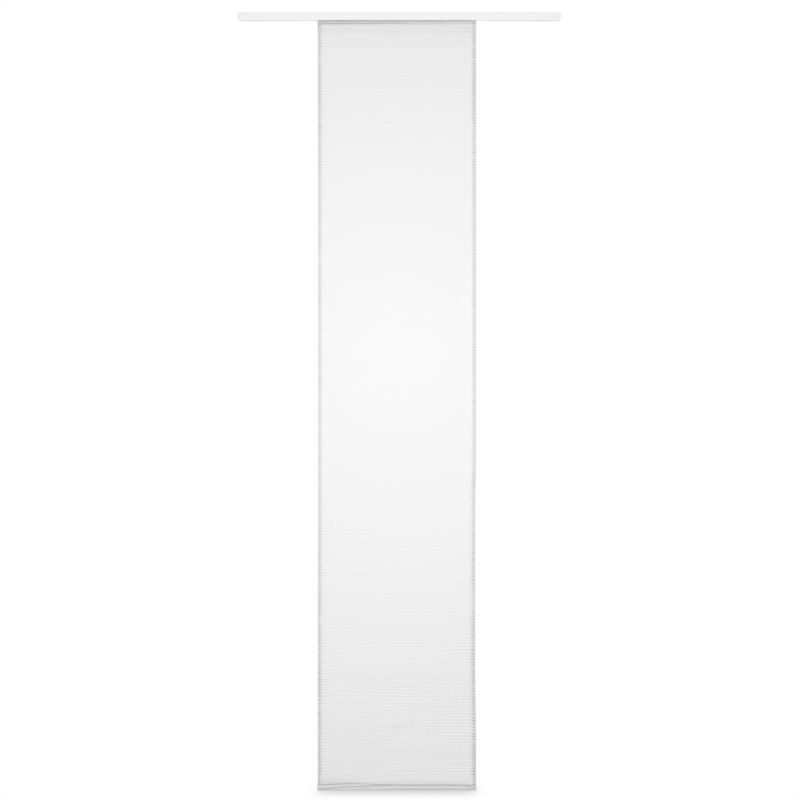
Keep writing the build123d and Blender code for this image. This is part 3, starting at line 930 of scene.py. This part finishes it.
def white_floor(reach, ambient):
    """A floor that shows as white, with a painted contact shadow from ambient occlusion where the object
    stands close over it, and lights as the sky.
    """
    made, tree, shader = material("white_floor")
    tree.nodes.remove(shader)
    near = node(tree, "AmbientOcclusion", {"samples": 16}, {"Distance": reach})
    shade = node(tree, "MapRange", None, {"Value": near.outputs["AO"], "From Min": 0.2, "From Max": 0.95,
                                          "To Min": 0.4, "To Max": 1.0})
    glow = node(tree, "Emission", None, {"Strength": shade.outputs["Result"]})
    even = node(tree, "Emission", None, {"Strength": ambient})
    mix = node(tree, "MixShader", None, {0: seen_by_eye(tree), 1: even.outputs[0], 2: glow.outputs[0]})
    tree.links.new(mix.outputs[0], tree.nodes["Material Output"].inputs["Surface"])
    return made


def softbox(name, stage, power, place_m, turn):
    """A square lamp that doesn't show itself."""
    lamp = bpy.data.lights.new(name, "AREA")
    lamp.size, lamp.energy = stage.key_size, power
    made = bpy.data.objects.new(name, lamp)
    made.location, made.rotation_euler = place_m, turn
    made.visible_camera = False
    bpy.context.scene.collection.objects.link(made)


class CURTAIN_OT_stage(bpy.types.Operator):
    """Sets the white floor, the even light, two softboxes and the camera"""
    bl_idname = "curtain.stage"
    bl_label = "Set the stage"

    def execute(self, context):
        stage = context.scene.curtain_stage
        context.scene.view_settings.view_transform = "Standard"
        self.floor(stage)
        self.sky(context.scene, stage)
        quarter = np.pi / 2
        front = sheet_middle(context.scene.curtain_cloth)
        softbox("key_softbox", stage, stage.key_power,
                (0.0, front - stage.key_distance, -stage.key_drop), (quarter, 0.0, 0.0))
        softbox("back_softbox", stage, stage.back_power,
                (0.0, front + stage.key_distance, -stage.key_drop), (-quarter, 0.0, 0.0))
        self.camera(context.scene, stage, front)
        return {"FINISHED"}

    def floor(self, stage):
        """A square of four corners, close below the bottom hem."""
        half, z = stage.floor_half, PANEL_LOW[2] - stage.floor_gap
        corners = np.array([(-half, -half, z), (half, -half, z), (half, half, z), (-half, half, z)])
        mesh = bpy.data.meshes.new("floor")
        mesh.from_pydata(corners.tolist(), [], [(0, 1, 2, 3)])
        mesh.materials.append(white_floor(stage.shadow_reach, stage.ambient))
        made = bpy.data.objects.new("floor", mesh)
        bpy.context.scene.collection.objects.link(made)

    def sky(self, scene, stage):
        """Even light from all round, which shows itself as white."""
        scene.world = bpy.data.worlds.new("even_light")
        scene.world.use_nodes = True
        tree = scene.world.node_tree
        strength = node(tree, "Mix", {"data_type": "FLOAT"}, {0: seen_by_eye(tree), 2: stage.ambient, 3: 1.0})
        tree.links.new(strength.outputs[0], tree.nodes["Background"].inputs["Strength"])
        tree.nodes["Background"].inputs["Color"].default_value = linear("#FFFFFF")

    def camera(self, scene, stage, front):
        """Level and square on, framed as in the photograph: its size and places are in pixels."""
        frame_px, panel_px, track_top_px, track_middle_px = 800, 158.5, 12.0, 399.25
        pixel = PANEL_WIDTH / panel_px
        lens = bpy.data.cameras.new("camera")
        lens.sensor_width = 36.0
        lens.lens = lens.sensor_width * stage.camera_distance / (frame_px * pixel)
        lens.clip_end = 100.0
        made = bpy.data.objects.new("camera", lens)
        made.location = (
            (frame_px / 2 - track_middle_px) * pixel,
            front - stage.camera_distance,
            TRACK_TOP - (frame_px / 2 - track_top_px) * pixel,
        )
        made.rotation_euler = (np.pi / 2, 0.0, 0.0)
        scene.collection.objects.link(made)
        scene.camera = made


class CURTAIN_PT_sidebar(bpy.types.Panel):
    """Steps and settings of the curtain"""
    bl_idname = "CURTAIN_PT_sidebar"
    bl_label = "Sliding panel curtain"
    bl_space_type = "VIEW_3D"
    bl_region_type = "UI"
    bl_category = "Curtain"

    def draw(self, context):
        for step in STEPS:
            self.layout.operator(step.bl_idname)
        for group in SETTINGS:
            settings = getattr(context.scene, group)
            for name in settings.bl_rna.properties.keys():
                if name not in ("rna_type", "name"):
                    self.layout.prop(settings, name)


SETTINGS = {"curtain_cloth": ClothSettings, "curtain_track": TrackSettings, "curtain_stage": StageSettings}
STEPS = (CURTAIN_OT_cloth, CURTAIN_OT_track, CURTAIN_OT_rollers, CURTAIN_OT_tapes, CURTAIN_OT_stage)
CLASSES = (*SETTINGS.values(), *STEPS, CURTAIN_PT_sidebar)


def register():
    for kind in CLASSES:
        bpy.utils.register_class(kind)
    for name, group in SETTINGS.items():
        setattr(bpy.types.Scene, name, bpy.props.PointerProperty(type=group))


def unregister():
    for name in SETTINGS:
        delattr(bpy.types.Scene, name)
    for kind in reversed(CLASSES):
        bpy.utils.unregister_class(kind)


def main():
    register()
    bpy.ops.curtain.cloth()
    bpy.ops.curtain.track()
    bpy.ops.curtain.rollers()
    bpy.ops.curtain.tapes()
    bpy.ops.curtain.stage()


if __name__ == "__main__":
    main()
